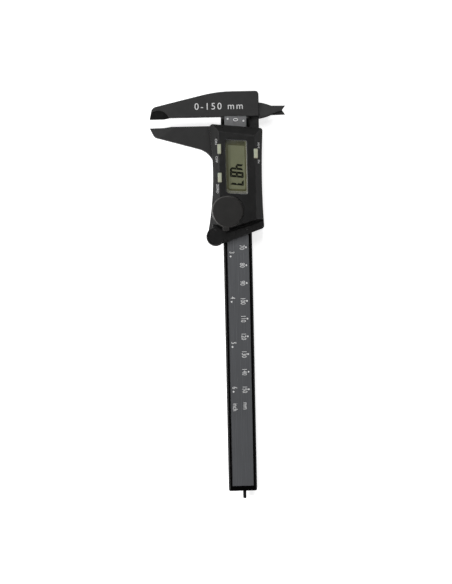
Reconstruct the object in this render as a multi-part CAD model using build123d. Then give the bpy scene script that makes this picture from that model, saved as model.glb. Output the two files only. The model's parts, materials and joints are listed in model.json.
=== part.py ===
from build123d import *
import math
import os

os.makedirs("parts", exist_ok=True)

# Digital caliper, 150 mm range, moulded in fibre-filled plastic. Millimetres.
# +X is the measuring direction, from the fixed jaw towards the tail of the beam, with X = 0 on the
# fixed jaw's measuring face. Y = 0 is the middle of the beam and the outer jaws point towards -Y.
# +Z leaves the display face and Z = 0 is the flat back that rests on a bench.

OPENING = 4.87

# Levels
BACK_PLATE_TOP = 1.5
FRAME_TOP = 5.9
TIE_BOTTOM = 5.75
TIE_TOP = 6.9
BOARD_TOP = 6.9
CEILING = 11.2
HOUSING_TOP = 12.8
SCOOP_FLOOR = 8.6

# Beam
BEAM_BACK = 1.6
BEAM_FRONT = 5.6
BEAM_HALF = 8.0
BEAM_END = 210.2
BEAM_RIM_CHAMFER = 0.8
SMALL_CHAMFER = 0.3
LABEL_HALF = 6.05
LABEL_START = -0.35
LABEL_END = 207.4
POCKET_FLOOR = 4.4
SCALE_BOARD_TOP = 5.2
LABEL_TOP = 5.4
SIDE_CLEARANCE = 0.1

# Fixed head and jaws
HEAD_BACK_X = -13.9
HEAD_SIDE_Y = 13.1
HEAD_FRONT = 6.5
HEAD_CORNER = 2.0
HEAD_PAD_START = -12.0
HEAD_PAD_END = 1.2
HEAD_PAD_HALF = 7.0
JAW_TIP_Y = -47.5
JAW_STEP_Y = -36.5
JAW_STEP_END_Y = -39.5
JAW_STEP = 0.6
JAW_EDGE = 0.35
SWEEP_START_Y = -2.0
SWEEP_RADIUS = 72.0
FIXED_TAPER = math.radians(12.85)
FIXED_TAPER_LENGTH = 26.5
MOVING_TAPER = math.radians(15.7)
MOVING_TAPER_LENGTH = 24.0
KNIFE_CENTRE = (2.1, -42.4)
KNIFE_RADIUS = 6.2
KNIFE_THICKNESS = 1.3
KNIFE_SLOPE = 0.6
MOVING_KNIFE_THICKNESS = 3.9
MOVING_KNIFE_SLOPE = (-0.08, -0.06, 1)
BLADE_START = (0.1, 17.0)
BLADE_SLOPE = (-0.15, 0.05)
BLADE_SPLIT = 3.95
BLADE_GAP = 0.05
BLADE_TOP = 6.0
INSIDE_EDGE_X = -5.6
INSIDE_TIP_Y = 27.8
INSIDE_ROOT_Y = 13.1
BLADE_ROOT_X = -7.0
ARM_FRONT_X = 5.15
ARM_STEP_X = 6.9
ARM_END_X = 20.0
ARM_SIDE_Y = 12.7
ARM_CORNER = 0.5

# Depth rod
ROD_Y = 1.0
ROD_WIDTH = 1.8
ROD_BACK = 1.8
ROD_HEIGHT = 1.6
ROD_START = 12.0
GROOVE_CLEARANCE = 0.1
GROOVE_START = 4.0
ROD_SCREW_X = 16.0
ROD_SCREW_HOLE = 0.55
ROD_SCREW_SHANK = 0.5
RETAINER = (13.0, 19.0, 1.7)

# Slider outline
LOBE = (66.05, -12.3)
LOBE_RADIUS = 5.2
LOBE_RIM = 0.8
LOBE_LIP_TOP = 9.0
LOBE_FACING = -30.8
FRAME_INSET = 0.2
WALL = 1.4
BEVEL_LEFT_Y = -9.6
BEVEL_RIGHT_Y = 10.4
TOP_FRONT_LEFT = (8.5, -9.6)
TOP_FRONT_RIGHT = (11.0, 10.4)
SIDE_BEVEL_ANGLE = 45.0
FRONT_BEVEL_ANGLE = 36.0
# Each cove of the thumb rest: a point on its upper edge, the way it faces and how far its wall leans
COVES = (((56.6, 10.4), 17.5, 1.6), ((59.2, -10.2), LOBE_FACING, 1.6))
COVE_ROUND = 1.4
COVE_REACH = 30.0
END_ANGLE = 19.7
FRONT_TIE = (9.2, 13.2)
REAR_TIE = (63.3, 0)
REAR_TIE_WIDTH = 2.4
REAR_TIE_LENGTH = 20.4
LIP_RELIEF_TOP = 6.75

# Battery
BATTERY = (52.2, -5.4)
CELL_RADIUS = 5.8
CELL_HEIGHT = 5.4
CELL_BACK = 6.65
CUP_RADIUS = 6.1
CUP_FLOOR = 6.35
BOSS_RADIUS = 8.95
BOSS_TOP = 12.35
COVER_RADIUS = 8.7
COVER_TOP = 13.45
COVER_ROUND = 0.7
TAB_START_X = 59.1
TAB_END_X = 62.8
TAB_LEFT_Y = -8.3
TAB_RIGHT_Y = -4.8
TAB_BACK = 12.1
TAB_TOP = 13.1
TAB_ROOM = 0.1
KEY_WIDTH = 1.6
KEY_REACH = 6.9

# Display
WINDOW_LEFT_Y = -6.2
WINDOW_RIGHT_Y = 5.85
WINDOW_FRONT_X = 13.25
WINDOW_BACK_X = 42.6
WINDOW_SLANT = math.tan(math.radians(4.0))
WINDOW_CORNER = 0.8
WINDOW_BIG_CORNER = 2.4
LENS_BACK = 10.4
LENS_TOP = 12.5
LENS_FIT = 0.05
LENS_FLANGE = 0.9
LENS_TAIL_FLANGE = 0.3
LENS_RIM = 0.5
LENS_TAIL_RIM = 1.4
GLASS_BACK = 8.6
GLASS_TOP = 10.3
GLASS_HALF = 7.2
GLASS_STEP = 0.6
GLASS_FRONT_X = 11.4
GLASS_END_X = 42.7
HOLDER_WALL = 1.2
HOLDER_FRONT_X = 14.2
HOLDER_END_X = 42.6
HOLDER_HALF = 7.6
STRIP_START = 16.6
STRIP_END = 40.3
STRIP_WIDTH = 1.4
STRIP_FIT = 0.1

# Buttons
BUTTON_TOP = 13.25
BUTTON_FIT = 0.06
BUTTON_CORNER = 0.35
BUTTON_FLANGE = 0.4
STEM_RADIUS = 0.8
FLANGE_TOP = 8.9
FLANGE_BACK = 8.2
STEM_BACK = 7.75
DOME_TOP = 7.3
DOME_RADIUS = 1.5
BUTTONS = {
    "on_off_button": (17.95, -9.3, 5.3, 1.95),
    "zero_button": (33.5, -9.35, 5.2, 2.1),
    "unit_button": (20.75, 10.7, 5.2, 2.15),
}

# Electronics
CHIP_HEIGHT = 1.0
CRYSTAL_HEIGHT = 1.8
CAPACITOR_START = 46.2
CAPACITOR_PITCH = 2.4
CAPACITOR_HEIGHT = 0.8

# Fasteners
SCREW_RADIUS = 0.7
SCREW_HEAD = 1.35
SCREW_HEAD_HEIGHT = 0.8
DRIVE_REACH = 0.8
DRIVE_HALF = 0.14
DRIVE_DEPTH = 0.48
SCREW_FIT = 0.05
SCREW_BOSS = 1.55
BOARD_SCREWS = ((26.0, -9.8), (42.0, -9.9), (29.0, 10.6), (43.5, 10.6))
PLATE_SCREWS = ((17.0, -10.6), (50.0, -10.6), (17.0, 10.7), (50.0, 10.7))
HOUSING_SCREWS = ((11.5, -11.2), (11.5, 11.2), (56.2, 11.2), (57.5, -11.2))
STOP_SCREWS = ((206.0, -4.4), (206.0, 4.4))
HEAD_LEVEL = 0.2
PLATE_SCREW_TIP = 4.4
STOP_SCREW_TIP = 3.7
BOARD_SCREW_TIP = 3.8
HOUSING_SCREW_TIP = 9.0
ROD_SCREW_TIP = 3.2
GIB_SCREW_X = (24.0, 46.0)

# Back plate, gib and end stop
PLATE_FRONT = 7.0
PLATE_END = 55.0
PLATE_HALF = 12.4
GIB_START = 14.0
GIB_END = 58.0
GIB_INNER = 8.05
GIB_OUTER = 8.55
GIB_SLOT = 9.0
GIB_BACK = 1.9
GIB_FRONT = 5.2
GIB_SCREW_RADIUS = 0.8
GIB_SCREW_END = 12.8
GIB_SCREW_Z = 3.6
STOP_START = 202.6
STOP_END = 209.4
STOP_HALF = 6.6


def block(x0, x1, y0, y1, z0, z1):
    """A box between two corners."""
    middle = Pos((x0 + x1) / 2, (y0 + y1) / 2, (z0 + z1) / 2)
    return middle * Box(x1 - x0, y1 - y0, z1 - z0)


def post(x, y, radius, z0, z1):
    """An upright cylinder."""
    return Pos(x, y, (z0 + z1) / 2) * Cylinder(radius, z1 - z0)


def plate(sketch, z0, z1):
    """A flat outline raised between two levels."""
    return Pos(0, 0, z0) * extrude(sketch, amount=z1 - z0)


def near(shape, x, y):
    """The corner of a flat outline closest to a point."""
    return shape.vertices().sort_by_distance((x, y, 0))[0]


def rounded_rectangle(x0, x1, y0, y1, radius):
    return Pos((x0 + x1) / 2, (y0 + y1) / 2) * RectangleRounded(x1 - x0, y1 - y0, radius)


def screw(x, y, z_head, z_tip, up=1.0):
    """A pan-head screw with a cross drive, its head starting at z_head and its tip at z_tip."""
    head_end = z_head + up * SCREW_HEAD_HEIGHT
    head = post(x, y, SCREW_HEAD, min(z_head, head_end), max(z_head, head_end))
    shank = post(x, y, SCREW_RADIUS, min(head_end, z_tip), max(head_end, z_tip))
    drive_end = z_head + up * DRIVE_DEPTH
    low = min(z_head, drive_end)
    high = max(z_head, drive_end)
    cross = block(x - DRIVE_REACH, x + DRIVE_REACH, y - DRIVE_HALF, y + DRIVE_HALF, low, high)
    cross += block(x - DRIVE_HALF, x + DRIVE_HALF, y - DRIVE_REACH, y + DRIVE_REACH, low, high)
    return head + shank - cross


def screw_room(x, y, z_head, z_tip, up=1.0):
    """The counterbore and pilot hole that a screw sits in."""
    head_end = z_head + up * SCREW_HEAD_HEIGHT
    low = min(z_head - up * 2.0, head_end)
    high = max(z_head - up * 2.0, head_end)
    head = post(x, y, SCREW_HEAD + SCREW_FIT, low, high)
    tip = z_tip + up * 0.2
    return head + post(x, y, SCREW_RADIUS + SCREW_FIT, min(head_end, tip), max(head_end, tip))


def heading(degrees):
    """The level direction at an angle from +X."""
    turn = math.radians(degrees)
    return Vector(math.cos(turn), math.sin(turn), 0)


def space_above(origin, normal):
    """Everything on the outer side of a plane."""
    space = Box(200, 200, 40, align=(Align.CENTER, Align.CENTER, Align.MIN))
    return Plane(origin=origin, z_dir=normal) * space


# Outlines


def slider_outline():
    """The plan of the housing: slanted ends, waisted sides and a thumb lobe."""
    front_left = (3.9, -15.0)
    front_right = (6.9, 14.9)
    back_right = (61.7, 14.8)
    back_left = (70.0, -8.9)
    lobe_start = (62.7, -16.25)
    front = Line(front_left, front_right)
    right = ThreePointArc(front_right, (34.5, 13.95), back_right)
    back = Line(back_right, back_left)
    across = Line(back_left, lobe_start)
    left = ThreePointArc(lobe_start, (31.0, -13.05), front_left)
    body = make_face([front, right, back, across, left])
    body = fillet(near(body, *front_left), 2.0)
    body = fillet(near(body, *front_right), 1.5)
    body = fillet(near(body, *back_right), 2.0)
    return body + Pos(*LOBE) * Circle(LOBE_RADIUS)


def fixed_jaw_outline():
    """The fixed outer jaw and the head that closes the end of the beam."""
    corner = (HEAD_BACK_X, HEAD_SIDE_Y)
    sweep_start = (HEAD_BACK_X, SWEEP_START_Y)
    sweep_end = (HEAD_BACK_X + SWEEP_RADIUS * (1 - math.cos(FIXED_TAPER)),
                 SWEEP_START_Y - SWEEP_RADIUS * math.sin(FIXED_TAPER))
    along = (math.sin(FIXED_TAPER), -math.cos(FIXED_TAPER))
    taper_end = (sweep_end[0] + FIXED_TAPER_LENGTH * along[0],
                 sweep_end[1] + FIXED_TAPER_LENGTH * along[1])
    nose_end = (-3.9, -46.3)
    tip = (JAW_STEP, JAW_TIP_Y)
    face_end = (0, HEAD_SIDE_Y)
    back = Line(corner, sweep_start)
    sweep = TangentArc(sweep_start, sweep_end, tangent=(0, -1))
    taper = Line(sweep_end, taper_end)
    nose = TangentArc(taper_end, nose_end, tangent=along)
    face = Polyline(nose_end, tip, (JAW_STEP, JAW_STEP_END_Y), (0, JAW_STEP_Y), face_end, corner)
    outline = make_face([back, sweep, taper, nose, *face.edges()])
    return fillet(near(outline, *corner), HEAD_CORNER)


def moving_jaw_outline():
    """The moving outer jaw, run back under the housing."""
    relief_x = OPENING + JAW_STEP
    rail_y = -BEAM_HALF - SIDE_CLEARANCE
    along = (math.sin(MOVING_TAPER), math.cos(MOVING_TAPER))
    taper_start = (10.9, -43.6)
    taper_end = (taper_start[0] + MOVING_TAPER_LENGTH * along[0],
                 taper_start[1] + MOVING_TAPER_LENGTH * along[1])
    nose_end = (9.3, -45.6)
    root = (23.4, -13.2)
    nose = TangentArc(taper_start, nose_end, tangent=(-along[0], -along[1]))
    taper = Line(taper_start, taper_end)
    sweep = TangentArc(taper_end, root, tangent=along)
    face = Polyline(nose_end, (relief_x, JAW_TIP_Y), (relief_x, JAW_STEP_END_Y),
                    (OPENING, JAW_STEP_Y + 1), (OPENING, rail_y), (root[0], rail_y), root)
    return make_face([nose, taper, sweep, *face.edges()])


def inside_blade_outline():
    """The pointed blade for inside measuring, drawn for the fixed jaw."""
    root_out = (-7.6, INSIDE_ROOT_Y)
    shoulder = (-5.7, 20.0)
    point = (INSIDE_EDGE_X, INSIDE_TIP_Y)
    notch = (-3.0, 25.9)
    inner = (-1.2, 20.4)
    root_in = (0.75, INSIDE_ROOT_Y)
    outer_curve = ThreePointArc(root_out, (-6.85, 16.8), shoulder)
    edge = Line(shoulder, point)
    facet = Line(point, notch)
    back = Line(notch, inner)
    inner_curve = ThreePointArc(inner, (0.1, 16.8), root_in)
    return make_face([outer_curve, edge, facet, back, inner_curve, Line(root_in, root_out)])


# Beam and what is fixed to it


def rod_groove():
    low = BEAM_BACK - 1
    high = ROD_BACK + ROD_HEIGHT + GROOVE_CLEARANCE
    half = ROD_WIDTH / 2 + GROOVE_CLEARANCE
    return block(GROOVE_START, BEAM_END + 1, ROD_Y - half, ROD_Y + half, low, high)


def beam_bar():
    """The straight bar with a bevelled rim."""
    bar = block(-1, BEAM_END, -BEAM_HALF, BEAM_HALF, BEAM_BACK, BEAM_FRONT)
    along = bar.edges().filter_by(Axis.X)
    bar = chamfer(along.group_by(Axis.Z)[-1], BEAM_RIM_CHAMFER)
    back = bar.edges().filter_by(Axis.X).group_by(Axis.Z)[0]
    bar = chamfer(back, SMALL_CHAMFER)
    corners = bar.edges().filter_by(Axis.Z).group_by(Axis.X)[-1]
    return fillet(corners, 0.8)


def fixed_inside_blade():
    blade = plate(inside_blade_outline(), BLADE_SPLIT + BLADE_GAP, BLADE_TOP)
    # the front falls away towards the measuring edge and the point
    return blade - space_above((*BLADE_START, BLADE_TOP), (*BLADE_SLOPE, 1))


def beam():
    head = plate(fixed_jaw_outline(), BEAM_BACK, HEAD_FRONT)
    rim = head.faces().sort_by(Axis.Z)[-1].edges()
    head = fillet(rim, JAW_EDGE)
    # the knife edge at the tip is thinned from the front
    recess = post(*KNIFE_CENTRE, KNIFE_RADIUS, BEAM_BACK, HEAD_FRONT + 1)
    knife_edge = (JAW_STEP, JAW_TIP_Y, BEAM_BACK + KNIFE_THICKNESS)
    head -= recess & space_above(knife_edge, (KNIFE_SLOPE, 0, 1))
    # the moving inside jaw passes behind the head
    head -= block(-12.6, 1, BEAM_HALF, HEAD_SIDE_Y + 1, BEAM_BACK - 1, BLADE_SPLIT)
    # the scale starts at the edge of the head
    step = block(LABEL_START, 1, -BEAM_HALF, BEAM_HALF, BEAM_FRONT, HEAD_FRONT + 1)
    whole = head - step + beam_bar() + fixed_inside_blade()
    # a pad behind the head is level with the back plate
    pad = rounded_rectangle(HEAD_PAD_START, HEAD_PAD_END, -HEAD_PAD_HALF, HEAD_PAD_HALF, 1.0)
    whole += plate(pad, 0, BEAM_BACK + 1)
    whole -= block(LABEL_START, LABEL_END, -LABEL_HALF, LABEL_HALF, POCKET_FLOOR, HEAD_FRONT)
    whole -= rod_groove()
    for x, y in STOP_SCREWS:
        whole -= screw_room(x, y, HEAD_LEVEL, STOP_SCREW_TIP)
    return whole


def scale_board():
    return block(LABEL_START, LABEL_END, -LABEL_HALF, LABEL_HALF, POCKET_FLOOR, SCALE_BOARD_TOP)


def scale_label():
    return block(LABEL_START, LABEL_END, -LABEL_HALF, LABEL_HALF, SCALE_BOARD_TOP, LABEL_TOP)


def end_stop():
    outline = rounded_rectangle(STOP_START, STOP_END, -STOP_HALF, STOP_HALF, 1.0)
    stop = plate(outline, 0, BEAM_BACK)
    for x, y in STOP_SCREWS:
        stop -= screw_room(x, y, HEAD_LEVEL, STOP_SCREW_TIP)
    return stop


def end_stop_screws():
    return [screw(x, y, HEAD_LEVEL, STOP_SCREW_TIP) for x, y in STOP_SCREWS]


# Slider frame and its fittings


def moving_inside_blade():
    """The mirror of the fixed blade, shifted by the opening and set in the back layer."""
    mirrored = mirror(inside_blade_outline(), about=Plane.YZ)
    placed = Pos(2 * INSIDE_EDGE_X + OPENING, 0) * mirrored
    blade = plate(placed, BEAM_BACK, BLADE_SPLIT - BLADE_GAP)
    blade -= space_above((0, BLADE_START[1], BEAM_BACK), (0, BLADE_SLOPE[1], -1))
    arm = block(BLADE_ROOT_X, ARM_STEP_X, BEAM_HALF + SIDE_CLEARANCE, INSIDE_ROOT_Y,
                BEAM_BACK, BLADE_SPLIT - BLADE_GAP)
    return blade + arm


def beam_channel():
    side = BEAM_HALF + SIDE_CLEARANCE
    channel = block(-60, 90, -side, side, 0, TIE_BOTTOM)
    slot = block(GIB_START - 0.1, GIB_END + 0.1, BEAM_HALF, GIB_SLOT, GIB_BACK - 0.2, GIB_FRONT + 0.2)
    return channel + slot


def slider_frame():
    rails = plate(offset(slider_outline(), amount=-FRAME_INSET), BACK_PLATE_TOP, FRAME_TOP)
    rails += post(*LOBE, LOBE_RADIUS - FRAME_INSET, BACK_PLATE_TOP, FRAME_TOP)
    jaw = plate(moving_jaw_outline(), BACK_PLATE_TOP, FRAME_TOP)
    rails += fillet(jaw.faces().sort_by(Axis.Z)[-1].edges(), JAW_EDGE)
    # nothing reaches past the jaw's measuring face
    rails -= block(-60, OPENING, -80, 80, 0, 10)
    # a square corner carries the inside blade
    arm = rounded_rectangle(ARM_FRONT_X, ARM_END_X, BEAM_HALF, ARM_SIDE_Y, ARM_CORNER)
    rails -= block(0, ARM_FRONT_X, 0, 80, 0, 10)
    rails -= block(0, ARM_STEP_X, ARM_SIDE_Y, 80, 0, 10)
    rails += plate(arm, BACK_PLATE_TOP, FRAME_TOP)
    # the knife edge at the jaw's tip is bevelled from the front
    knife_edge = (OPENING + JAW_STEP, KNIFE_CENTRE[1], BACK_PLATE_TOP + MOVING_KNIFE_THICKNESS)
    rails -= space_above(knife_edge, MOVING_KNIFE_SLOPE) & block(0, 20, -60, -20, 0, 10)
    frame = rails - beam_channel()
    tie_reach = BEAM_HALF + 1.6
    frame += block(*FRONT_TIE, -tie_reach, tie_reach, TIE_BOTTOM, TIE_TOP)
    rear_tie = Box(REAR_TIE_WIDTH, REAR_TIE_LENGTH, TIE_TOP - TIE_BOTTOM)
    frame += Pos(*REAR_TIE, (TIE_BOTTOM + TIE_TOP) / 2) * Rot(0, 0, END_ANGLE) * rear_tie
    frame += moving_inside_blade()
    for x, y in PLATE_SCREWS:
        frame -= screw_room(x, y, HEAD_LEVEL, PLATE_SCREW_TIP)
    for x, y in HOUSING_SCREWS:
        frame -= screw_room(x, y, BACK_PLATE_TOP, HOUSING_SCREW_TIP)
    for x, y in BOARD_SCREWS:
        frame -= post(x, y, SCREW_RADIUS + SCREW_FIT, BOARD_SCREW_TIP - 0.2, FRAME_TOP + 1)
    for x in GIB_SCREW_X:
        frame -= gib_screw(x, SCREW_FIT)
    return frame


def gib_screw(x, fit=0.0):
    """A headless screw that runs in from the side of the slider and pushes on the gib strip."""
    end = GIB_SCREW_END + 20 * fit
    body = Cylinder(GIB_SCREW_RADIUS + fit, end - GIB_OUTER)
    placed = Pos(x, (GIB_OUTER + end) / 2, GIB_SCREW_Z) * Rot(90, 0, 0) * body
    if fit:
        return placed
    slit = block(x - 0.65, x + 0.65, end - DRIVE_DEPTH, end + 1,
                 GIB_SCREW_Z - DRIVE_HALF, GIB_SCREW_Z + DRIVE_HALF)
    return placed - slit


def gib_screws():
    return [gib_screw(x) for x in GIB_SCREW_X]


def gib_strip():
    return block(GIB_START, GIB_END, GIB_INNER, GIB_OUTER, GIB_BACK, GIB_FRONT)


def back_plate():
    outline = rounded_rectangle(PLATE_FRONT, PLATE_END, -PLATE_HALF, PLATE_HALF, 2.0)
    cover = plate(outline, 0, BACK_PLATE_TOP)
    cover = chamfer(cover.faces().sort_by(Axis.Z)[0].edges(), SMALL_CHAMFER)
    for x, y in PLATE_SCREWS:
        cover -= screw_room(x, y, HEAD_LEVEL, PLATE_SCREW_TIP)
    return cover - screw_room(ROD_SCREW_X, ROD_Y, HEAD_LEVEL, ROD_SCREW_TIP)


def back_plate_screws():
    return [screw(x, y, HEAD_LEVEL, PLATE_SCREW_TIP) for x, y in PLATE_SCREWS]


def depth_rod():
    tip = BEAM_END + OPENING
    half = ROD_WIDTH / 2
    outline = rounded_rectangle(ROD_START, tip, ROD_Y - half, ROD_Y + half, 0.6)
    rod = plate(outline, ROD_BACK, ROD_BACK + ROD_HEIGHT)
    return rod - post(ROD_SCREW_X, ROD_Y, ROD_SCREW_HOLE, ROD_BACK - 1, ROD_BACK + ROD_HEIGHT + 1)


def rod_retainer():
    """The spacer that holds the rod's end off the back plate."""
    start, end, width = RETAINER
    outline = rounded_rectangle(start, end, ROD_Y - width / 2, ROD_Y + width / 2, 0.4)
    spacer = plate(outline, BACK_PLATE_TOP, ROD_BACK)
    return spacer - post(ROD_SCREW_X, ROD_Y, ROD_SCREW_HOLE, 0, ROD_BACK + 1)


def rod_retainer_screw():
    x = ROD_SCREW_X
    head_end = HEAD_LEVEL + SCREW_HEAD_HEIGHT
    head = post(x, ROD_Y, SCREW_HEAD, HEAD_LEVEL, head_end)
    shank = post(x, ROD_Y, ROD_SCREW_SHANK, head_end, ROD_SCREW_TIP)
    drive = block(x - DRIVE_REACH, x + DRIVE_REACH, ROD_Y - DRIVE_HALF, ROD_Y + DRIVE_HALF,
                  0, HEAD_LEVEL + DRIVE_DEPTH)
    return head + shank - drive


# Housing


def above_bevel(origin, outward, angle, inset):
    """The space above a sloping plane that runs down from an edge of the top face."""
    tilt = math.radians(angle)
    side = math.sin(tilt)
    normal = Vector(outward[0] * side, outward[1] * side, math.cos(tilt))
    return space_above(Vector(*origin, HOUSING_TOP) - normal * inset, normal)


def cove(edge, facing, lean):
    """A hollow that leads from the top face down to the end flange, open at its far side."""
    outline = Polyline((0, HOUSING_TOP), (lean, SCOOP_FLOOR), (COVE_REACH, SCOOP_FLOOR),
                       (COVE_REACH, 2 * HOUSING_TOP), (0, 2 * HOUSING_TOP), close=True)
    profile = make_face(outline)
    profile = fillet(near(profile, lean, SCOOP_FLOOR), COVE_ROUND)
    placed = Plane(origin=(*edge, 0), x_dir=heading(facing), z_dir=heading(facing - 90))
    section = placed * profile
    return extrude(section, amount=2 * COVE_REACH, both=True)


def beyond_coves(margin):
    """Everything past the coves' upper edges, less a margin."""
    space = []
    for cut in COVES:
        outward = heading(cut[1])
        space.append(space_above(Vector(*cut[0], 0) - outward * margin, outward))
    return space[0] + space[1]


def bevelled_body(inset, base, top):
    """The housing's body inside its bevels, drawn in by an inset."""
    outline = slider_outline()
    if inset:
        outline = offset(outline, amount=-inset)
    body = plate(outline, base, top)
    front_run = Vector(*TOP_FRONT_RIGHT) - Vector(*TOP_FRONT_LEFT)
    front_out = Vector(-front_run.Y, front_run.X, 0).normalized()
    body -= above_bevel(TOP_FRONT_LEFT, (front_out.X, front_out.Y), FRONT_BEVEL_ANGLE, inset)
    body -= above_bevel((0, BEVEL_LEFT_Y), (0, -1), SIDE_BEVEL_ANGLE, inset)
    body -= above_bevel((0, BEVEL_RIGHT_Y), (0, 1), SIDE_BEVEL_ANGLE, inset)
    return body


def window_outline(side_inset, tail_inset, big_corner):
    """The window's leaning outline drawn in from its edges, with one big corner at the tail."""
    front = WINDOW_FRONT_X + side_inset
    back = WINDOW_BACK_X - tail_inset
    left = WINDOW_LEFT_Y + side_inset
    right = WINDOW_RIGHT_Y - side_inset
    corners = [(front + WINDOW_SLANT * left, left), (back + WINDOW_SLANT * left, left),
               (back + WINDOW_SLANT * right, right), (front + WINDOW_SLANT * right, right)]
    outline = make_face(Polyline(*corners, close=True))
    outline = fillet(near(outline, *corners[1]), big_corner)
    for corner in (corners[0], corners[2], corners[3]):
        outline = fillet(near(outline, *corner), WINDOW_CORNER)
    return outline


def button_outline(x, y, length, width):
    return rounded_rectangle(x - length / 2, x + length / 2, y - width / 2, y + width / 2, BUTTON_CORNER)


def button_hole(x, y, length, width):
    outline = button_outline(x, y, length, width)
    return plate(offset(outline, amount=BUTTON_FIT), FLANGE_TOP + 0.1, HOUSING_TOP + 1)


def cover_keys(fit):
    """Two keys on the battery cover's plug, or with a fit, the notches they slide in."""
    reach = KEY_REACH + fit
    half = KEY_WIDTH / 2 + fit
    x, y = BATTERY
    return block(x - reach, x + reach, y - half, y + half, BOSS_TOP - 0.6 - 4 * fit, BOSS_TOP + 4 * fit)


def cover_tab(fit):
    """The finger tab on the battery cover, or with a fit, the pocket it lies in."""
    top = TAB_TOP + 20 * fit
    return block(TAB_START_X - fit, TAB_END_X + fit, TAB_LEFT_Y - fit, TAB_RIGHT_Y + fit,
                 TAB_BACK - fit, top)


def thumb_lobe():
    """The round end of the thumb rest, with a low lip along its outer side."""
    lobe = post(*LOBE, LOBE_RADIUS, FRAME_TOP, LOBE_LIP_TOP)
    lobe = chamfer(lobe.faces().sort_by(Axis.Z)[-1].edges(), SMALL_CHAMFER)
    inward = heading(LOBE_FACING + 180)
    floor = post(*LOBE, LOBE_RADIUS - LOBE_RIM, SCOOP_FLOOR, LOBE_LIP_TOP + 1)
    floor += space_above(Vector(*LOBE, 0), inward) & block(0, 100, -40, 40, SCOOP_FLOOR, 20)
    return lobe - floor


def front_housing():
    body = bevelled_body(0, FRAME_TOP, HOUSING_TOP)
    for cut in COVES:
        body -= cove(*cut)
    body += thumb_lobe()
    high = bevelled_body(WALL, FRAME_TOP - 1, CEILING) - beyond_coves(1.5)
    low = plate(offset(slider_outline(), amount=-WALL), FRAME_TOP - 1, TIE_TOP + 0.1)
    body -= high + low
    x, y = BATTERY
    boss = post(x, y, BOSS_RADIUS, FRAME_TOP, BOSS_TOP)
    boss = chamfer(boss.faces().sort_by(Axis.Z)[-1].edges(), 0.3)
    body += boss
    body -= post(x, y, CUP_RADIUS, CUP_FLOOR, HOUSING_TOP + 5)
    body -= post(x, y, COVER_RADIUS + 0.1, BOSS_TOP, HOUSING_TOP + 5)
    body -= cover_keys(0.1)
    body -= cover_tab(TAB_ROOM)
    inside = bevelled_body(WALL / 2, FRAME_TOP, HOUSING_TOP - WALL / 2) - beyond_coves(0)
    for x, y in HOUSING_SCREWS:
        body += post(x, y, SCREW_BOSS, FRAME_TOP, HOUSING_TOP) & inside
    body -= plate(window_outline(0, 0, WINDOW_BIG_CORNER), CEILING - 0.5, HOUSING_TOP + 1)
    for sizes in BUTTONS.values():
        body -= button_hole(*sizes)
    for x, y in HOUSING_SCREWS:
        body -= post(x, y, SCREW_RADIUS + SCREW_FIT, FRAME_TOP - 1, HOUSING_SCREW_TIP + 0.2)
    # the lip in front of the moving jaw's face rides over the fixed head
    body -= block(0, OPENING + 0.15, -30, 30, FRAME_TOP - 1, LIP_RELIEF_TOP)
    return body


def housing_screws():
    return [screw(x, y, BACK_PLATE_TOP, HOUSING_SCREW_TIP) for x, y in HOUSING_SCREWS]


# Display


def display_window():
    """The clear lens: a flange behind the housing and a tray whose rim slopes down to the glass."""
    flange = window_outline(-LENS_FLANGE, -LENS_TAIL_FLANGE, WINDOW_CORNER)
    tray = window_outline(LENS_FIT, LENS_FIT, WINDOW_BIG_CORNER)
    lens = plate(flange, LENS_BACK, CEILING) + plate(tray, CEILING, LENS_TOP)
    floor = window_outline(LENS_RIM, LENS_TAIL_RIM, WINDOW_BIG_CORNER)
    mouth = window_outline(2 * LENS_FIT, 2 * LENS_FIT, WINDOW_BIG_CORNER)
    return lens - loft([Pos(0, 0, CEILING) * floor, Pos(0, 0, LENS_TOP + 0.1) * mouth], ruled=True)


def lcd_glass():
    """Two sheets of glass, the front one drawn in all round."""
    middle = (GLASS_BACK + GLASS_TOP) / 2
    lower = block(GLASS_FRONT_X, GLASS_END_X, -GLASS_HALF, GLASS_HALF, GLASS_BACK, middle)
    step = GLASS_STEP
    upper = block(GLASS_FRONT_X + step, GLASS_END_X - step, -GLASS_HALF + step, GLASS_HALF - step,
                  middle, GLASS_TOP)
    return lower + upper


def display_holder():
    """A frame under the glass with a slot for each contact strip."""
    front = HOLDER_FRONT_X
    end = HOLDER_END_X
    frame = block(front, end, -HOLDER_HALF, HOLDER_HALF, BOARD_TOP, GLASS_BACK)
    hollow = HOLDER_HALF - 2.9
    frame -= block(front + HOLDER_WALL, end - HOLDER_WALL, -hollow, hollow, 0, 20)
    for side in (-1, 1):
        frame -= contact_slot(side, STRIP_FIT)
    return frame


def contact_slot(side, fit):
    """The room that a contact strip takes up, or with a fit, the slot that holds it."""
    middle = side * (HOLDER_HALF - 1.5)
    half = STRIP_WIDTH / 2 + fit
    return block(STRIP_START - fit, STRIP_END + fit, middle - half, middle + half,
                 BOARD_TOP, GLASS_BACK)


def zebra_strips():
    return [contact_slot(side, 0.0) for side in (-1, 1)]


# Electronics


def main_board():
    """An L-shaped board that passes beside the battery and leaves room for a housing screw."""
    outline = rounded_rectangle(14.0, 57.0, -11.2, 12.1, 0.8)
    outline -= Pos(*BATTERY) * Circle(BOSS_RADIUS + 0.2)
    battery_side = rounded_rectangle(44.0, 60.0, -14.0, 3.8, 0.2)
    screw_corner = rounded_rectangle(54.2, 60.0, 8.8, 14.0, 0.2)
    outline -= battery_side + screw_corner
    board = plate(outline, FRAME_TOP, BOARD_TOP)
    for x, y in BOARD_SCREWS:
        board -= post(x, y, SCREW_RADIUS + SCREW_FIT, 0, 20)
    return board


def board_screws():
    screws = []
    for x, y in BOARD_SCREWS:
        screws.append(screw(x, y, BOARD_TOP + SCREW_HEAD_HEIGHT, BOARD_SCREW_TIP, up=-1.0))
    return screws


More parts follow.
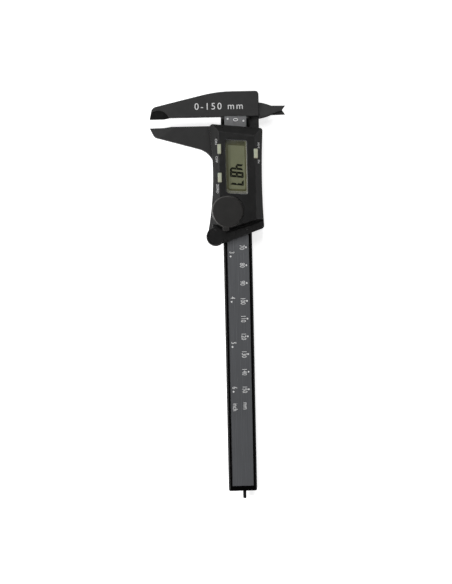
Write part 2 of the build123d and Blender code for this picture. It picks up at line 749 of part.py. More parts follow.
def processor_chip():
    chip = block(24.0, 31.0, -3.2, 3.2, BOARD_TOP, BOARD_TOP + CHIP_HEIGHT)
    return chamfer(chip.faces().sort_by(Axis.Z)[-1].edges(), 0.2)


def board_components():
    """The crystal can and a row of chip capacitors beside the battery."""
    pieces = [block(46.0, 52.0, 5.6, 7.6, BOARD_TOP, BOARD_TOP + CRYSTAL_HEIGHT)]
    for number in range(4):
        x = CAPACITOR_START + CAPACITOR_PITCH * number
        pieces.append(block(x, x + 1.6, 9.2, 10.0, BOARD_TOP, BOARD_TOP + CAPACITOR_HEIGHT))
    return pieces


def switch_domes():
    domes = []
    for x, y, *cap in BUTTONS.values():
        dome = post(x, y, DOME_RADIUS, BOARD_TOP, DOME_TOP)
        domes.append(chamfer(dome.faces().sort_by(Axis.Z)[-1].edges(), 0.25))
    return domes


# Battery


def battery_cell():
    x, y = BATTERY
    can = post(x, y, CELL_RADIUS, CELL_BACK + 0.3, CELL_BACK + CELL_HEIGHT)
    return can + post(x, y, CELL_RADIUS - 0.9, CELL_BACK, CELL_BACK + 0.3)


def battery_negative_contact():
    x, y = BATTERY
    pad = post(x, y, 3.4, CUP_FLOOR, CELL_BACK)
    return pad - post(x, y, 1.0, 0, 20)


def battery_positive_contact():
    """A sprung strip between the cell's rim and the wall of the cup."""
    x, y = BATTERY
    ring = post(x, y, CUP_RADIUS - 0.02, 7.6, 10.4) - post(x, y, CELL_RADIUS + 0.02, 7, 11)
    return ring & block(x - 3, x + 3, y, y + 10, 7, 11)


def battery_cover():
    x, y = BATTERY
    disc = post(x, y, COVER_RADIUS, BOSS_TOP, COVER_TOP)
    disc = fillet(disc.faces().sort_by(Axis.Z)[-1].edges(), COVER_ROUND)
    tab = cover_tab(0.0)
    disc += fillet(tab.edges().filter_by(Axis.Z).group_by(Axis.X)[-1], 0.5)
    plug = post(x, y, CUP_RADIUS - 0.1, BOSS_TOP - 0.25, BOSS_TOP)
    keys = cover_keys(0.0) - post(x, y, CELL_RADIUS + 0.1, 0, BOSS_TOP - 0.25)
    return disc + plug + keys


# Buttons


def button(x, y, length, width):
    outline = button_outline(x, y, length, width)
    cap = plate(outline, FLANGE_TOP, BUTTON_TOP)
    cap = chamfer(cap.faces().sort_by(Axis.Z)[-1].edges(), 0.2)
    flange = plate(offset(outline, amount=BUTTON_FLANGE), FLANGE_BACK, FLANGE_TOP)
    return cap + flange + post(x, y, STEM_RADIUS, STEM_BACK, FLANGE_BACK)


PARTS = {
    "beam": beam,
    "scale_board": scale_board,
    "scale_label": scale_label,
    "end_stop": end_stop,
    "end_stop_screws": end_stop_screws,
    "slider_frame": slider_frame,
    "gib_strip": gib_strip,
    "gib_screws": gib_screws,
    "back_plate": back_plate,
    "back_plate_screws": back_plate_screws,
    "depth_rod": depth_rod,
    "rod_retainer": rod_retainer,
    "rod_retainer_screw": rod_retainer_screw,
    "front_housing": front_housing,
    "housing_screws": housing_screws,
    "display_window": display_window,
    "lcd_glass": lcd_glass,
    "display_holder": display_holder,
    "zebra_strips": zebra_strips,
    "main_board": main_board,
    "board_screws": board_screws,
    "processor_chip": processor_chip,
    "board_components": board_components,
    "switch_domes": switch_domes,
    "battery_cell": battery_cell,
    "battery_negative_contact": battery_negative_contact,
    "battery_positive_contact": battery_positive_contact,
    "battery_cover": battery_cover,
}

for name, make in PARTS.items():
    shape = make()
    if isinstance(shape, list):
        shape = Compound(children=shape)
    export_step(shape, f"parts/{name}.step")

for name, sizes in BUTTONS.items():
    export_step(button(*sizes), f"parts/{name}.step")
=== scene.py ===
import json
import math

import bmesh
import bpy
from mathutils import Matrix, Vector


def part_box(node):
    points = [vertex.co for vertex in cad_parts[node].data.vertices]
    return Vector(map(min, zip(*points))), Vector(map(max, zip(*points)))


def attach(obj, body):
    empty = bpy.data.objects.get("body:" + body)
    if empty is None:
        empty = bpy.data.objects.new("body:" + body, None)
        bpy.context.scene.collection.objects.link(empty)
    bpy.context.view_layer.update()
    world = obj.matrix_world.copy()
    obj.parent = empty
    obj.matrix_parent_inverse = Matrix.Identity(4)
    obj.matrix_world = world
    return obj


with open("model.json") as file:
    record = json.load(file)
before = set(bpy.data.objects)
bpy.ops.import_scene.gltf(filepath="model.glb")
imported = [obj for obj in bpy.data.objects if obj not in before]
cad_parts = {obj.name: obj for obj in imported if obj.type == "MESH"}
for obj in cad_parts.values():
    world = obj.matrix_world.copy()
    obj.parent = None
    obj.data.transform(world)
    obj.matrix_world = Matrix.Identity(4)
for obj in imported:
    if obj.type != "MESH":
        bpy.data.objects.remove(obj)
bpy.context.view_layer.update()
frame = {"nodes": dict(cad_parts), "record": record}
nodes = frame["nodes"]

# Lengths are in millimetres unless a name says otherwise; MM turns them into the scene's metres.
MM = 0.001
INCH = 25.4

# ---------------------------------------------------------------- shader tools

SOFT_EDGE = 0.22
# Radius of the paler edge band, which is partly rubbed wear and partly painted highlight.
WORN_AND_HIGHLIT_EDGE = 0.45
EDGE_FULL = 0.955
EDGE_NONE = 0.998
SLOPE_FULL = 0.6
SLOPE_NONE = 0.985
# How far and how strongly painted shade darkens hollows.
HOLLOW_SHADE_REACH = 3.0
HOLLOW_SHADE_MOST = 0.85
BAR_BLACK = 0.001
BAR_GLOSS = 0.02
BAR_FADE = 0.5
WINDOW_EDGE = 0.25
# Strength of the painted highlight along the window's sharp edges.
WINDOW_EDGE_HIGHLIGHT = 0.25
WINDOW_LIT_SIDE = (-0.99, -0.15, 0.0)


def rgba(colour):
    """A colour with full alpha."""
    return (*colour, 1.0)


def grey(level, warmth=0.0):
    """A near-neutral linear colour: warmth above 0 leans to brown, below 0 to blue."""
    return (level * (1 + warmth), level, level * (1 - warmth))


class Nodes:
    """Builds a node tree. An input is given as a value or as another node's output."""

    def __init__(self, tree):
        self.tree = tree
        self.tree.nodes.clear()

    def feed(self, entry, value):
        """Links an input to another node's output, or sets it to a value."""
        if isinstance(value, bpy.types.NodeSocket):
            self.tree.links.new(value, entry)
        else:
            entry.default_value = value

    def add(self, kind, inputs=None, **settings):
        """A new node with its settings and inputs."""
        node = self.tree.nodes.new("ShaderNode" + kind)
        for key, value in settings.items():
            setattr(node, key, value)
        for entry, value in (inputs or {}).items():
            self.feed(node.inputs[entry], value)
        return node

    def spread(self, value, low, high, start=0.3, end=0.7, curve="LINEAR"):
        """Goes from low to high as the value goes from start to end."""
        inputs = {"Value": value, "From Min": start, "From Max": end, "To Min": low, "To Max": high}
        return self.add("MapRange", inputs, interpolation_type=curve).outputs["Result"]

    def maths(self, operation, *values):
        """A sum on one or two numbers."""
        return self.add("Math", dict(enumerate(values)), operation=operation).outputs["Value"]

    def dot(self, first, second):
        """How far two directions agree."""
        return self.add("VectorMath", {0: first, 1: second}, operation="DOT_PRODUCT").outputs["Value"]

    def part(self, vector, axis):
        """One component of a vector."""
        return self.add("SeparateXYZ", {"Vector": vector}).outputs[axis]

    def between(self, factor, first, second):
        """A surface or background between two others."""
        return self.add("MixShader", {"Fac": factor, 1: first, 2: second}).outputs["Shader"]


class Shader(Nodes):
    """Builds one material around a principled surface."""

    def __init__(self, name):
        self.material = bpy.data.materials.new(name)
        self.material.use_nodes = True
        super().__init__(self.material.node_tree)
        self.output = self.add("OutputMaterial")
        self.surface = self.add("BsdfPrincipled")
        self.show(self.surface.outputs["BSDF"])
        self.place = self.add("TexCoord").outputs["Object"]
        self.millimetres = self.stretched(self.place, (1 / MM, 1 / MM, 1 / MM))

    def show(self, shading):
        """Makes a shading the material's result."""
        self.feed(self.output.inputs["Surface"], shading)

    def set(self, **values):
        """Feeds the surface's inputs, named with underscores for spaces."""
        for name, value in values.items():
            self.feed(self.surface.inputs[name.replace("_", " ")], value)

    def stretched(self, place, scale):
        """A place scaled along each axis."""
        return self.add("Mapping", {"Vector": place, "Scale": scale}).outputs["Vector"]

    def noise(self, scale, detail=3.0, roughness=0.5, stretch=None):
        """Noise with scale in features per millimetre."""
        place = self.stretched(self.millimetres, stretch) if stretch else self.millimetres
        inputs = {"Vector": place, "Scale": scale, "Detail": detail, "Roughness": roughness}
        return self.add("TexNoise", inputs).outputs["Fac"]

    def tone(self, value, dark, light, start=0.3, end=0.7):
        """A colour from dark to light as the value goes from start to end."""
        node = self.add("ValToRGB", {"Fac": value})
        for element, position, colour in zip(node.color_ramp.elements, (start, end), (dark, light)):
            element.position = position
            element.color = rgba(colour)
        return node.outputs["Color"]

    def mix(self, factor, first, second):
        """A linked colour mixed with a fixed one."""
        node = self.add("Mix", {"Factor": factor}, data_type="RGBA")
        self.feed(node.inputs[6], first)
        self.feed(node.inputs[7], rgba(second))
        return node.outputs[2]

    def bump(self, value, height, below=None):
        """A normal roughened by a bump of a given full height, on top of another normal."""
        inputs = {"Height": value, "Distance": height * MM}
        if below:
            inputs["Normal"] = below
        return self.add("Bump", inputs).outputs["Normal"]

    def geometry(self, kind):
        """A property of the surface at this point, such as its normal."""
        return self.add("NewGeometry").outputs[kind]

    def rounded(self, radius):
        """The surface's normal with its sharp edges rounded over."""
        return self.add("Bevel", {"Radius": radius * MM}, samples=6).outputs["Normal"]

    def edges(self, radius):
        """A mask that is 1 along sharp edges and 0 on flat faces."""
        agreement = self.dot(self.rounded(radius), self.geometry("Normal"))
        return self.spread(agreement, 1.0, 0.0, EDGE_FULL, EDGE_NONE)

    def slopes(self, amount):
        """A mask that is the given amount on slopes and 0 on level faces."""
        level = self.maths("ABSOLUTE", self.part(self.geometry("Normal"), "Z"))
        return self.spread(level, amount, 0.0, SLOPE_FULL, SLOPE_NONE)


# ---------------------------------------------------------------- materials


def moulded_plastic(name, dark, light, roughness, grain, edge_wear_and_highlight, warmth=0.0, gloss=0.3, rub_and_highlight=None,
                    rim_highlight=0.0, tail_facing_shade=0.0, bar_start=None):
    """Fibre-filled moulded plastic: cloudy tone, spark-eroded grain, paler edges that are partly rubbed
    wear and partly painted highlight, painted shade in hollows.

    Slopes that face +X, away from the lamps, can carry painted shade, by the amount of the tail-facing
    shade argument. Past bar_start along X the top turns to the deep black of the beam's rims.
    """
    shader = Shader(name)
    patch = shader.noise(0.5)
    colour = shader.tone(shader.noise(0.22, detail=4.0), grey(dark, warmth), grey(light, warmth), end=0.72)
    speck = shader.noise(3.2, detail=2.0, roughness=0.7)
    fleck = shader.spread(speck, 0.0, 0.22, 0.52, 0.8)
    colour = shader.mix(fleck, colour, grey(light * 2.2, warmth))
    patchy = shader.spread(patch, 0.25 * edge_wear_and_highlight, edge_wear_and_highlight, 0.35, 0.65)
    # Paler edges: partly rubbed wear, partly painted highlight.
    rubbed_and_highlit = shader.maths("MULTIPLY", shader.edges(WORN_AND_HIGHLIT_EDGE), patchy)
    colour = shader.mix(rubbed_and_highlit, colour, grey(rub_and_highlight or light * 3.4, warmth))
    # Painted shade on faces turned towards +X, away from the lamps.
    if tail_facing_shade:
        towards_tail = shader.part(shader.geometry("True Normal"), "X")
        tail_shade = shader.spread(towards_tail, 0.0, tail_facing_shade, 0.25, 0.38)
        colour = shader.mix(tail_shade, colour, grey(dark * 0.08))
    # Painted highlight on sloping faces, such as the battery cover's rounded rim.
    if rim_highlight:
        colour = shader.mix(shader.slopes(rim_highlight), colour, grey(rub_and_highlight, warmth))
    # Painted shade in hollows, from ambient occlusion.
    openness = shader.add("AmbientOcclusion", {"Distance": HOLLOW_SHADE_REACH * MM}, samples=8).outputs["AO"]
    hollow_shade = shader.spread(openness, HOLLOW_SHADE_MOST, 0.0, 0.35, 0.95)
    colour = shader.mix(hollow_shade, colour, grey(dark * 0.1))
    shader.set(Specular_IOR_Level=gloss)
    if bar_start is not None:
        distance = shader.part(shader.millimetres, "X")
        along = shader.spread(distance, 0.0, 1.0, bar_start, bar_start + BAR_FADE)
        upward = shader.spread(shader.part(shader.geometry("True Normal"), "Z"), 0.0, 1.0, 0.4, 0.9)
        blackened = shader.maths("MULTIPLY", along, upward)
        colour = shader.mix(blackened, colour, grey(BAR_BLACK))
        shader.set(Specular_IOR_Level=shader.spread(blackened, gloss, BAR_GLOSS, 0.0, 1.0))
    coarse = shader.bump(shader.noise(2.4, detail=2.0), 1.5 * grain, below=shader.rounded(SOFT_EDGE))
    fine = shader.bump(shader.noise(9.0, detail=2.0, roughness=0.6), grain, below=coarse)
    shader.set(Base_Color=colour, Normal=fine)
    shader.set(Roughness=shader.spread(patch, roughness - 0.07, roughness + 0.07))
    return shader.material


def scale_film():
    """Satin grey printed film with faint lengthwise brushing."""
    shader = Shader("scale_film")
    streak = shader.noise(1.0, detail=4.0, stretch=(0.06, 3.0, 1.0))
    brushed = shader.tone(streak, (0.063, 0.065, 0.069), (0.074, 0.076, 0.081))
    shade = shader.spread(shader.noise(0.08, detail=2.0), 0.0, 0.35)
    shader.set(Base_Color=shader.mix(shade, brushed, (0.059, 0.060, 0.063)))
    shader.set(Roughness=shader.spread(streak, 0.22, 0.28), Normal=shader.bump(streak, 0.004))
    return shader.material


def dark_glass():
    """The olive-tinted glass around a liquid crystal display's active area; the strip of it left at the
    window's front is also painted shadow of the window's front wall.
    """
    shader = Shader("dark_glass")
    cloud = shader.noise(0.3, detail=2.0)
    shader.set(Base_Color=shader.tone(cloud, (0.095, 0.090, 0.040), (0.115, 0.110, 0.050)))
    shader.set(Roughness=shader.spread(cloud, 0.2, 0.3), Normal=shader.bump(cloud, 0.003))
    shader.set(Specular_IOR_Level=0.2)
    return shader.material


def display_film():
    """The grey-green reflective layer of a liquid crystal display."""
    shader = Shader("display_film")
    grain = shader.noise(14.0, detail=1.0)
    cloudy = shader.tone(shader.noise(0.12, detail=2.0), (0.197, 0.197, 0.122), (0.227, 0.227, 0.141))
    fleck = shader.spread(grain, 0.0, 0.25)
    shader.set(Base_Color=shader.mix(fleck, cloudy, (0.252, 0.252, 0.165)))
    shader.set(Roughness=shader.spread(grain, 0.3, 0.42), Normal=shader.bump(grain, 0.002))
    shader.set(Specular_IOR_Level=0.25)
    return shader.material


def clear_window():
    """Clear acrylic: flat faces let light straight through; sloping rims that face the lamps, and sharp
    edges, carry a painted highlight.
    """
    shader = Shader("clear_window")
    corner = shader.edges(WINDOW_EDGE)
    highlight_colour = shader.tone(corner, (0.38, 0.385, 0.36), (0.85, 0.86, 0.82), start=0.2, end=0.6)
    shader.set(Base_Color=highlight_colour, Specular_IOR_Level=0.6, Roughness=0.3)
    clear = shader.add("BsdfTransparent", {"Color": rgba((0.96, 0.97, 0.96))})
    smear = shader.spread(shader.noise(0.35, detail=4.0), 0.02, 0.06)
    gloss = shader.add("BsdfGlossy", {"Roughness": smear})
    glance = shader.add("Fresnel", {"IOR": 1.2}).outputs["Fac"]
    pane = shader.between(glance, clear.outputs["BSDF"], gloss.outputs["BSDF"])
    facing = shader.geometry("True Normal")
    level = shader.maths("ABSOLUTE", shader.part(facing, "Z"))
    sloped = shader.spread(level, 1.0, 0.0, 0.2, 0.97)
    # Painted highlight: sloping rims that face the lamps, and sharp edges, turn to a pale diffuse surface.
    lit = shader.spread(shader.dot(facing, WINDOW_LIT_SIDE), 0.10, 0.8, 0.0, 0.8)
    glow = shader.maths("MAXIMUM", shader.maths("MULTIPLY", sloped, lit),
                        shader.maths("MULTIPLY", corner, WINDOW_EDGE_HIGHLIGHT))
    shader.show(shader.between(glow, pane, shader.surface.outputs["BSDF"]))
    return shader.material


def button_plastic():
    """Cream plastic, slightly darker along its sharp edges."""
    shader = Shader("button_plastic")
    cloud = shader.noise(0.9, detail=4.0)
    cream = shader.tone(cloud, (0.28, 0.29, 0.215), (0.33, 0.34, 0.255))
    shader.set(Base_Color=shader.mix(shader.edges(0.25), cream, (0.25, 0.255, 0.19)))
    shader.set(Roughness=shader.spread(cloud, 0.4, 0.55))
    shader.set(Normal=shader.bump(shader.noise(7.0, detail=2.0), 0.006))
    shader.set(Subsurface_Weight=0.08, Subsurface_Scale=0.5 * MM)
    return shader.material


def metal(name, dark, light, roughness):
    """Plated or rolled metal with fine directional scratches."""
    shader = Shader(name)
    scratch = shader.noise(1.5, detail=4.0, stretch=(0.4, 6.0, 6.0))
    shader.set(Base_Color=shader.tone(shader.noise(0.8), dark, light), Metallic=1.0)
    shader.set(Roughness=shader.spread(scratch, roughness - 0.08, roughness + 0.1))
    shader.set(Normal=shader.bump(scratch, 0.006))
    return shader.material


def board_resist():
    """Green solder resist with faint copper tracks beneath."""
    shader = Shader("circuit_board")
    tracks = shader.add("TexBrick", {
        "Vector": shader.millimetres,
        "Scale": 0.55,
        "Mortar Size": 0.03,
        "Color1": rgba((0.012, 0.085, 0.035)),
        "Color2": rgba((0.014, 0.10, 0.042)),
        "Mortar": rgba((0.03, 0.16, 0.07)),
    })
    shader.set(Base_Color=tracks.outputs["Color"], Normal=shader.bump(tracks.outputs["Fac"], 0.02))
    shader.set(Roughness=shader.spread(shader.noise(1.2), 0.25, 0.4))
    return shader.material


def layered_rubber():
    """Conductive and plain rubber in thin alternating layers."""
    shader = Shader("contact_rubber")
    inputs = {"Vector": shader.millimetres, "Scale": 3.0, "Distortion": 0.2}
    bands = shader.add("TexWave", inputs, bands_direction="X").outputs["Fac"]
    shader.set(Base_Color=shader.tone(bands, grey(0.02), (0.5, 0.3, 0.3), start=0.4, end=0.6))
    shader.set(Normal=shader.bump(bands, 0.02), Roughness=0.7)
    return shader.material


def ink(name, colour, roughness=0.5, gloss=0.4):
    """Screen-printed ink: nearly even, with a little starvation at a fine scale."""
    shader = Shader(name)
    starve = shader.noise(5.0)
    thin = tuple(channel * 0.86 for channel in colour)
    shader.set(Base_Color=shader.tone(starve, thin, colour, start=0.35, end=0.6))
    shader.set(Roughness=shader.spread(starve, roughness - 0.05, roughness + 0.08))
    shader.set(Normal=shader.bump(starve, 0.003), Specular_IOR_Level=gloss)
    return shader.material


# In these materials the edge wear amount and rub colour also set painted edge highlights, the tail-facing
# amount sets painted shade, and the rim amount sets the cover's painted rim highlight.
slot_materials = {
    "jaw_plastic": moulded_plastic("jaw_plastic", dark=0.012, light=0.016, roughness=0.5, grain=0.010,
                                   edge_wear_and_highlight=0.22, tail_facing_shade=0.95, bar_start=0.7),
    "frame_plastic": moulded_plastic("frame_plastic", dark=0.010, light=0.013, roughness=0.5, grain=0.010,
                                     edge_wear_and_highlight=0.20),
    "housing_plastic": moulded_plastic("housing_plastic", dark=0.004, light=0.006, roughness=0.34,
                                       grain=0.010, edge_wear_and_highlight=0.6, gloss=0.2, rub_and_highlight=0.06, tail_facing_shade=0.7),
    "cover_plastic": moulded_plastic("cover_plastic", dark=0.008, light=0.011, roughness=0.42, grain=0.010,
                                     edge_wear_and_highlight=0.7, warmth=0.05, rub_and_highlight=0.06, rim_highlight=0.8),
    "rod_plastic": moulded_plastic("rod_plastic", dark=0.006, light=0.008, roughness=0.45, grain=0.006,
                                   edge_wear_and_highlight=0.2),
    "holder_plastic": moulded_plastic("holder_plastic", dark=0.55, light=0.62, roughness=0.5, grain=0.008,
                                      edge_wear_and_highlight=0.05),
    "chip_resin": moulded_plastic("chip_resin", dark=0.010, light=0.014, roughness=0.6, grain=0.006,
                                  edge_wear_and_highlight=0.1),
    "scale_film": scale_film(),
    "circuit_board": board_resist(),
    "screw_steel": metal("screw_steel", (0.16, 0.16, 0.165), (0.24, 0.24, 0.245), 0.36),
    "spring_brass": metal("spring_brass", (0.55, 0.38, 0.16), (0.68, 0.5, 0.24), 0.3),
    "cell_steel": metal("cell_steel", (0.55, 0.55, 0.56), (0.68, 0.68, 0.68), 0.28),
    "plated_parts": metal("plated_parts", (0.6, 0.6, 0.58), (0.75, 0.75, 0.72), 0.25),
    "clear_window": clear_window(),
    "display_glass": dark_glass(),
    "contact_rubber": layered_rubber(),
    "button_plastic": button_plastic(),
}
white_ink = ink("white_ink", grey(0.52))
# The words on the left bevel use a dim ink and those on the right bevel a bright one.
dim_ink = ink("dim_ink", grey(0.32))
bright_ink = ink("bright_ink", grey(0.85))
segment_ink = ink("segment_ink", (0.004, 0.004, 0.002), roughness=0.6, gloss=0.1)

for part in frame["record"]["subparts"]:
    piece = nodes[part["node"]]
    piece.data.materials.clear()
    piece.data.materials.append(slot_materials[part["material_slot"]])

# ---------------------------------------------------------------- printed marks

LIFT = 0.006
PRINT_THICKNESS = 0.012
CAPITAL_SHARE = 0.729
RIGHT = (1, 0, 0)
UP = (0, 1, 0)


def mesh_from(name, work):
    """Turns a bmesh into a mesh."""
    mesh = bpy.data.meshes.new(name)
    work.to_mesh(mesh)
    work.free()
    return mesh


def linked(name, data):
    """A new object for a mesh, curve, lamp or camera."""
    piece = bpy.data.objects.new(name, data)
    bpy.context.scene.collection.objects.link(piece)
    return piece


def printed(name, meshes, body, material):
    """Several meshes as one printed piece that rides on a body."""
    work = bmesh.new()
    for mesh in meshes:
        work.from_mesh(mesh)
    piece = linked(name, mesh_from(name, work))
    piece.data.materials.append(material)
    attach(piece, body)


def frame_at(x, y, z, right, up):
    """A matrix at a point with its x along right and y along up."""
    across = Vector(right).normalized()
    rise = Vector(up).normalized()
    matrix = Matrix((across, rise, across.cross(rise))).transposed().to_4x4()
    matrix.translation = Vector((x, y, z)) * MM
    return matrix


def lettering(words, place, height, squeeze=1.0, spacing=1.0):
    """Raised lettering as a mesh. Place is the matrix of its baseline's middle."""
    curve = bpy.data.curves.new("lettering", "FONT")
    curve.body = words
    curve.align_x = "CENTER"
    curve.space_character = spacing
    curve.size = height * MM / CAPITAL_SHARE
    curve.extrude = PRINT_THICKNESS * MM
    curve.resolution_u = 4
    text = linked("lettering", curve)
    bpy.context.view_layer.update()
    mesh = bpy.data.meshes.new_from_object(text.evaluated_get(bpy.context.evaluated_depsgraph_get()))
    bpy.data.objects.remove(text)
    mesh.transform(place @ Matrix.Diagonal((squeeze, 1, 1, 1)))
    return mesh


def discs(name, centres, radius, z):
    """Thin printed discs in one mesh."""
    work = bmesh.new()
    for x, y in centres:
        spot = Matrix.Translation(Vector((x, y, z)) * MM)
        bmesh.ops.create_cone(work, cap_ends=True, segments=28, radius1=radius * MM, radius2=radius * MM,
                              depth=2 * PRINT_THICKNESS * MM, matrix=spot)
    return mesh_from(name, work)


# ---------------------------------------------------------------- the beam's scale

SCALE_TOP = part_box("scale_label")[1].z / MM + LIFT
SCALE_ZERO = 2.35
MM_STEP = 10
MM_STEPS = 15
MM_DOT_Y = 4.45
INCH_STEPS = 6
INCH_DOT_Y = -4.22
INCH_SHIFT = -1.24
INCH_NUMERAL_SHIFT = INCH_SHIFT - 2.2
DOT_RADIUS = 0.5
NUMERAL_HEIGHT = 2.8
NUMERAL_SQUEEZE = 0.70
MM_BASELINE = 0.95
INCH_BASELINE = -4.75
ZERO_SHIFT = -0.7
ZERO_BASELINE = -1.15
MM_WORD = (159.4, 1.15)
INCH_WORD = (160.0, -4.65)


def scale_dots():
    """A dot every 10 mm and every inch."""
    dots = [(SCALE_ZERO + MM_STEP * step, MM_DOT_Y) for step in range(MM_STEPS + 1)]
    dots += [(SCALE_ZERO + INCH_SHIFT + INCH * step, INCH_DOT_Y) for step in range(INCH_STEPS + 1)]
    mesh = discs("scale_dots", dots, DOT_RADIUS, SCALE_TOP)
    printed("scale_dots", [mesh], "beam", white_ink)


def scale_numerals():
    """The numerals beside the dots and the names of the two units."""
    words = [(str(MM_STEP * step), MM_STEP * step, MM_BASELINE) for step in range(1, MM_STEPS + 1)]
    words += [(str(step), INCH * step + INCH_NUMERAL_SHIFT, INCH_BASELINE)
              for step in range(1, INCH_STEPS + 1)]
    words += [("mm", *MM_WORD), ("inch", *INCH_WORD)]
    zero_place = frame_at(SCALE_ZERO + ZERO_SHIFT, ZERO_BASELINE, SCALE_TOP, RIGHT, UP)
    meshes = [lettering("0", zero_place, NUMERAL_HEIGHT)]
    for word, along, baseline in words:
        place = frame_at(SCALE_ZERO + along, baseline, SCALE_TOP, RIGHT, UP)
        meshes.append(lettering(word, place, NUMERAL_HEIGHT, NUMERAL_SQUEEZE))
    printed("scale_numerals", meshes, "beam", white_ink)


# ---------------------------------------------------------------- words on the head and housing

HEAD_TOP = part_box("beam")[1].z / MM + LIFT
RANGE_PLACE = (-4.1, -9.0)
RANGE_HEIGHT = 3.8
RANGE_SPACING = 1.3
HOUSING_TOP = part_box("front_housing")[1].z / MM
LEFT_BEVEL_Y = -9.6
RIGHT_BEVEL_Y = 10.4
WORD_SQUEEZE = 0.85
BUTTON_WORD_HEIGHT = 1.75
BUTTON_WORDS = (("ON", 13.9, 1.95), ("OFF", 23.6, 1.85), ("ZERO", 39.6, 1.7))
UNIT_WORD_HEIGHT = 1.7
UNIT_WORDS = (("MM", 16.3, 1.3), ("IN", 25.2, 1.3))


def range_mark():
    """The generic measuring range on the head, read from the jaws' side."""
    place = frame_at(*RANGE_PLACE, HEAD_TOP, (0, 1, 0), (-1, 0, 0))
    mesh = lettering("0-150 mm", place, RANGE_HEIGHT, spacing=RANGE_SPACING)
    printed("range_mark", [mesh], "beam", white_ink)


def bevel_words(words, edge_y, side, height):
    """Words on one side bevel, each at its place along X and its distance down from the top edge."""
    meshes = []
    for word, x, depth in words:
        place = frame_at(x, edge_y + side * depth, HOUSING_TOP - depth, RIGHT, (0, 1, -side))
        lifted = place @ Matrix.Translation((0, 0, LIFT * MM))
        meshes.append(lettering(word, lifted, height, WORD_SQUEEZE))
    return meshes


def housing_words():
    """The words beside the buttons on both side bevels."""
    left = bevel_words(BUTTON_WORDS, LEFT_BEVEL_Y, -1, BUTTON_WORD_HEIGHT)
    printed("button_words", left, "slider", dim_ink)
    right = bevel_words(UNIT_WORDS, RIGHT_BEVEL_Y, 1, UNIT_WORD_HEIGHT)
    printed("unit_words", right, "slider", bright_ink)


# ---------------------------------------------------------------- liquid crystal display

GLASS_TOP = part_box("lcd_glass")[1].z / MM
FILM_LIFT = 0.005
FILM_THICKNESS = 0.03
# The film stops short of the window's front, so the olive glass there shows as a dark strip: the display's
# real border, and painted shadow of the front wall.
FILM_FRONT = 16.1
FILM_END = 39.9
FILM_LEFT = -4.4
FILM_RIGHT = 4.55
FILM_CORNER = 0.35
FILM_CORNER_STEPS = 4
FILM_LEAN = math.tan(math.radians(4.0))
DIGIT_LIFT = 0.01
DIGIT_BOTTOM = -3.7
DIGIT_HEIGHT = 7.5
DIGIT_WIDTH = 3.2
DIGIT_LEAN = math.tan(math.radians(7.0))
STROKE = 1.12
SEGMENT_GAP = 0.07
SEGMENTS = {"4": "bcfg", "8": "abcdefg", "7": "abc", ".": "p"}
READING = (("4", 25.7), (".", 28.85), ("8", 29.9), ("7", 34.15))


def add_prism(work, outline, level, thickness):
    """A closed flat prism over an outline of (x, y) points."""
    face = work.faces.new([work.verts.new(Vector((x, y, level)) * MM) for x, y in outline])
    raised = bmesh.ops.extrude_face_region(work, geom=[face])["geom"]
    moved = [item for item in raised if isinstance(item, bmesh.types.BMVert)]
    bmesh.ops.translate(work, verts=moved, vec=(0, 0, thickness * MM))
    bmesh.ops.recalc_face_normals(work, faces=work.faces)


def display_active_area():
    """The lighter film under the digits: a thin leaning sheet with rounded corners."""
    front, end = FILM_FRONT + FILM_CORNER, FILM_END - FILM_CORNER
    left, right = FILM_LEFT + FILM_CORNER, FILM_RIGHT - FILM_CORNER
    outline = []
    for x, y, start in ((end, right, 0), (front, right, 90), (front, left, 180), (end, left, 270)):
        for step in range(FILM_CORNER_STEPS + 1):
            turn = math.radians(start + 90 * step / FILM_CORNER_STEPS)
            up = y + FILM_CORNER * math.sin(turn)
            outline.append((x + FILM_CORNER * math.cos(turn) + FILM_LEAN * up, up))
    work = bmesh.new()
    add_prism(work, outline, GLASS_TOP + FILM_LIFT, FILM_THICKNESS)
    mesh = mesh_from("display_active_area", work)
    printed("display_active_area", [mesh], "slider", display_film())


def segment_outline(letter):
    """One segment of a digit, in a box DIGIT_WIDTH by DIGIT_HEIGHT with its corner at the origin."""
    half = STROKE / 2
    middle = DIGIT_HEIGHT / 2
    inset = STROKE + SEGMENT_GAP

    def edge_bar(edge, outward):
        """The top or bottom bar, mitred at both corners."""
        inner = edge - outward * STROKE
        return [(SEGMENT_GAP, edge), (DIGIT_WIDTH - SEGMENT_GAP, edge), (DIGIT_WIDTH - inset, inner),
                (inset, inner)]

    def stem(outer, inner, edge, outward):
        """An upright from the middle bar to a mitred corner."""
        foot = middle + outward * SEGMENT_GAP
        return [(outer, edge - outward * SEGMENT_GAP), (inner, edge - outward * inset),
                (inner, foot + outward * half), ((outer + inner) / 2, foot), (outer, foot)]

    def middle_bar():
        """The bar across the middle, pointed at both ends."""
        start = half + SEGMENT_GAP
        return [(start, middle), (inset, middle + half), (DIGIT_WIDTH - inset, middle + half),
                (DIGIT_WIDTH - start, middle), (DIGIT_WIDTH - inset, middle - half), (inset, middle - half)]

    shapes = {
        "a": edge_bar(DIGIT_HEIGHT, 1),
        "b": stem(DIGIT_WIDTH, DIGIT_WIDTH - STROKE, DIGIT_HEIGHT, 1),
        "c": stem(DIGIT_WIDTH, DIGIT_WIDTH - STROKE, 0, -1),
        "d": edge_bar(0, -1),
        "e": stem(0, STROKE, 0, -1),
        "f": stem(0, STROKE, DIGIT_HEIGHT, 1),
        "g": middle_bar(),
        "p": [(0, 0), (STROKE, 0), (STROKE, STROKE), (0, STROKE)],
    }
    return shapes[letter]


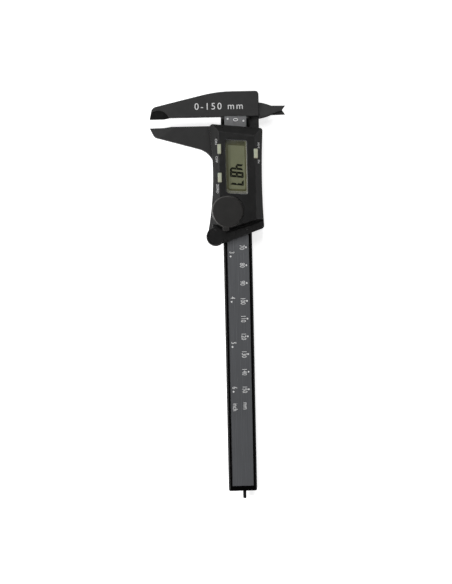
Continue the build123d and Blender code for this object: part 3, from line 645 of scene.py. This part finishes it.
def display_digits():
    """The reading, in dark leaning segments on the film."""
    work = bmesh.new()
    level = GLASS_TOP + FILM_THICKNESS + DIGIT_LIFT
    for character, left in READING:
        for letter in SEGMENTS[character]:
            outline = [(left + x + DIGIT_LEAN * y, DIGIT_BOTTOM + y) for x, y in segment_outline(letter)]
            add_prism(work, outline, level, PRINT_THICKNESS)
    mesh = mesh_from("display_digits", work)
    printed("display_digits", [mesh], "slider", segment_ink)


# ---------------------------------------------------------------- stage, light and camera, in metres

FLOOR_SIZE = 3.0
FLOOR_DEPTH = 0.05 * MM
JAW_SIDE = (-0.7, -0.71, 0.0)
BEAM_FRONT = (0.06, 0.0, 0.0)
LAMPS = (
    ("key", 8.7, 0.5, (-0.80, -0.10, 0.95), BEAM_FRONT),
    ("side", 10.6, 0.3, (0.25, -0.75, 0.45), BEAM_FRONT),
    ("fill", 1.0, 0.3, (0.55, -0.60, 0.80), BEAM_FRONT),
    ("top", 0.78, 0.1, (-0.12, -0.03, 1.2), (0.0, 0.0, 0.0)),
)
CAMERA_PLACE = (0.049578, -0.019118, 0.646724)
CAMERA_FORWARD = (0.07391, 0.01849, -0.99709)
CAMERA_DOWN = (0.99702, -0.02334, 0.07347)
CAMERA_LENS = 70.89


def pale_floor():
    """A plain pale floor that glows more with distance and can't be seen from below."""
    work = bmesh.new()
    bmesh.ops.create_grid(work, x_segments=1, y_segments=1, size=FLOOR_SIZE)
    floor = linked("floor", mesh_from("floor", work))
    floor.location.z = -FLOOR_DEPTH
    shader = Shader("pale_floor")
    distance = shader.add("VectorMath", {0: shader.place}, operation="LENGTH").outputs["Value"]
    glow = shader.spread(distance, 0.78, 1.0, 0.3, 1.2)
    shader.set(Base_Color=rgba(grey(0.6)), Roughness=0.9, Specular_IOR_Level=0.1)
    shader.set(Emission_Color=rgba(grey(1.0)), Emission_Strength=glow)
    clear = shader.add("BsdfTransparent").outputs["BSDF"]
    shader.show(shader.between(shader.geometry("Backfacing"), shader.surface.outputs["BSDF"], clear))
    floor.data.materials.append(shader.material)


def surroundings():
    """Pale surroundings that dim overhead and away from the jaws, behind a plain white backdrop."""
    world = bpy.data.worlds.new("studio")
    bpy.context.scene.world = world
    world.use_nodes = True
    room = Nodes(world.node_tree)
    direction = room.add("TexCoord").outputs["Generated"]
    height = room.spread(room.part(direction, "Z"), 0.42, 0.02, 0.0, 0.8, curve="SMOOTHSTEP")
    side = room.spread(room.dot(direction, JAW_SIDE), 0.6, 1.55, -0.9, 0.9)
    strength = room.maths("MULTIPLY", height, side)
    light = room.add("Background", {"Color": rgba(grey(0.8)), "Strength": strength})
    backdrop = room.add("Background", {"Color": rgba(grey(1.0))})
    seen = room.add("LightPath").outputs["Is Camera Ray"]
    choice = room.between(seen, light.outputs["Background"], backdrop.outputs["Background"])
    room.add("OutputWorld", {"Surface": choice})


def area_light(name, watts, size, location, target):
    """A soft square lamp that points at a target."""
    lamp = bpy.data.lights.new(name, "AREA")
    lamp.energy = watts
    lamp.size = size
    holder = linked(name, lamp)
    holder.location = location
    holder.rotation_euler = (Vector(target) - Vector(location)).to_track_quat("-Z", "Y").to_euler()


def camera_over_beam():
    """The camera, almost square over the beam with the jaws at the top of the picture."""
    forward = Vector(CAMERA_FORWARD)
    down = Vector(CAMERA_DOWN)
    data = bpy.data.cameras.new("camera")
    data.sensor_width = 36.0
    data.lens = CAMERA_LENS
    data.clip_start = 0.01
    data.clip_end = 10.0
    camera = linked("camera", data)
    turn = Matrix((down.cross(forward), -down, -forward)).transposed().to_4x4()
    turn.translation = Vector(CAMERA_PLACE)
    camera.matrix_world = turn
    bpy.context.scene.camera = camera


scale_dots()
scale_numerals()
range_mark()
housing_words()
display_active_area()
display_digits()
pale_floor()
surroundings()
for lamp in LAMPS:
    area_light(*lamp)
camera_over_beam()
bpy.context.scene.view_settings.view_transform = "Standard"
